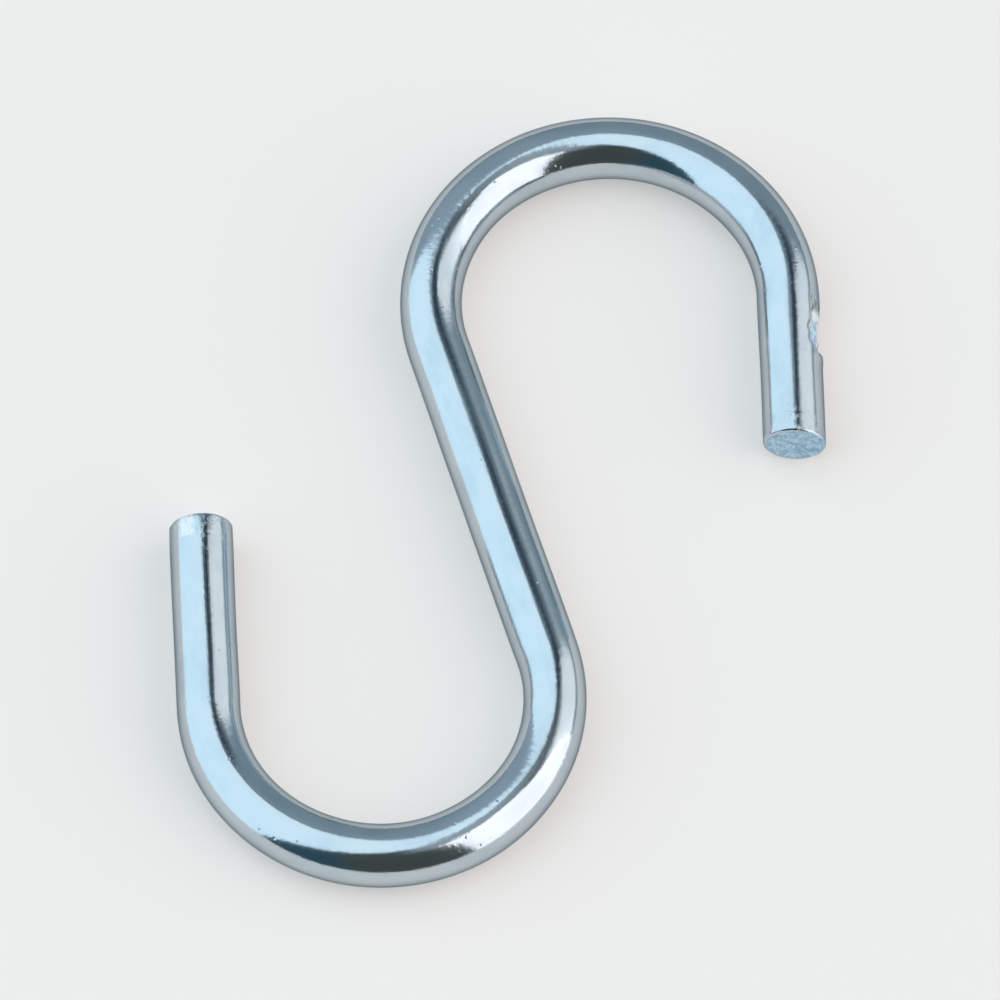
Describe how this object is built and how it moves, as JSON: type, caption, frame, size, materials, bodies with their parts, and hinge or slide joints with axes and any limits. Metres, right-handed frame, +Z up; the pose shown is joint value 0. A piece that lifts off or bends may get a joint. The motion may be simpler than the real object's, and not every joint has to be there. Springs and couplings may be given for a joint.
{
  "type": "s hook",
  "caption": "Open S-shaped hook bent from round plated steel wire, with a straight leaning spine, a round bend at each end and square-cut straight legs, for linking or hanging things.",
  "frame": {"origin": "middle of the outline, on the surface that the hook lies on", "axes": "+Z is up out of the surface and across the wire; +Y runs along the hook's length, towards the crown of the upper bend; +X points to the side of the upper leg"},
  "size_m": [0.0286, 0.0376, 0.0028],
  "materials": {
    "zinc_plated_wire": "bright zinc plating with a pale blue passivate over drawn steel wire, duller on the cut ends"
  },
  "bodies": {
    "root": {"hook": "zinc_plated_wire"}
  },
  "joints": []
}
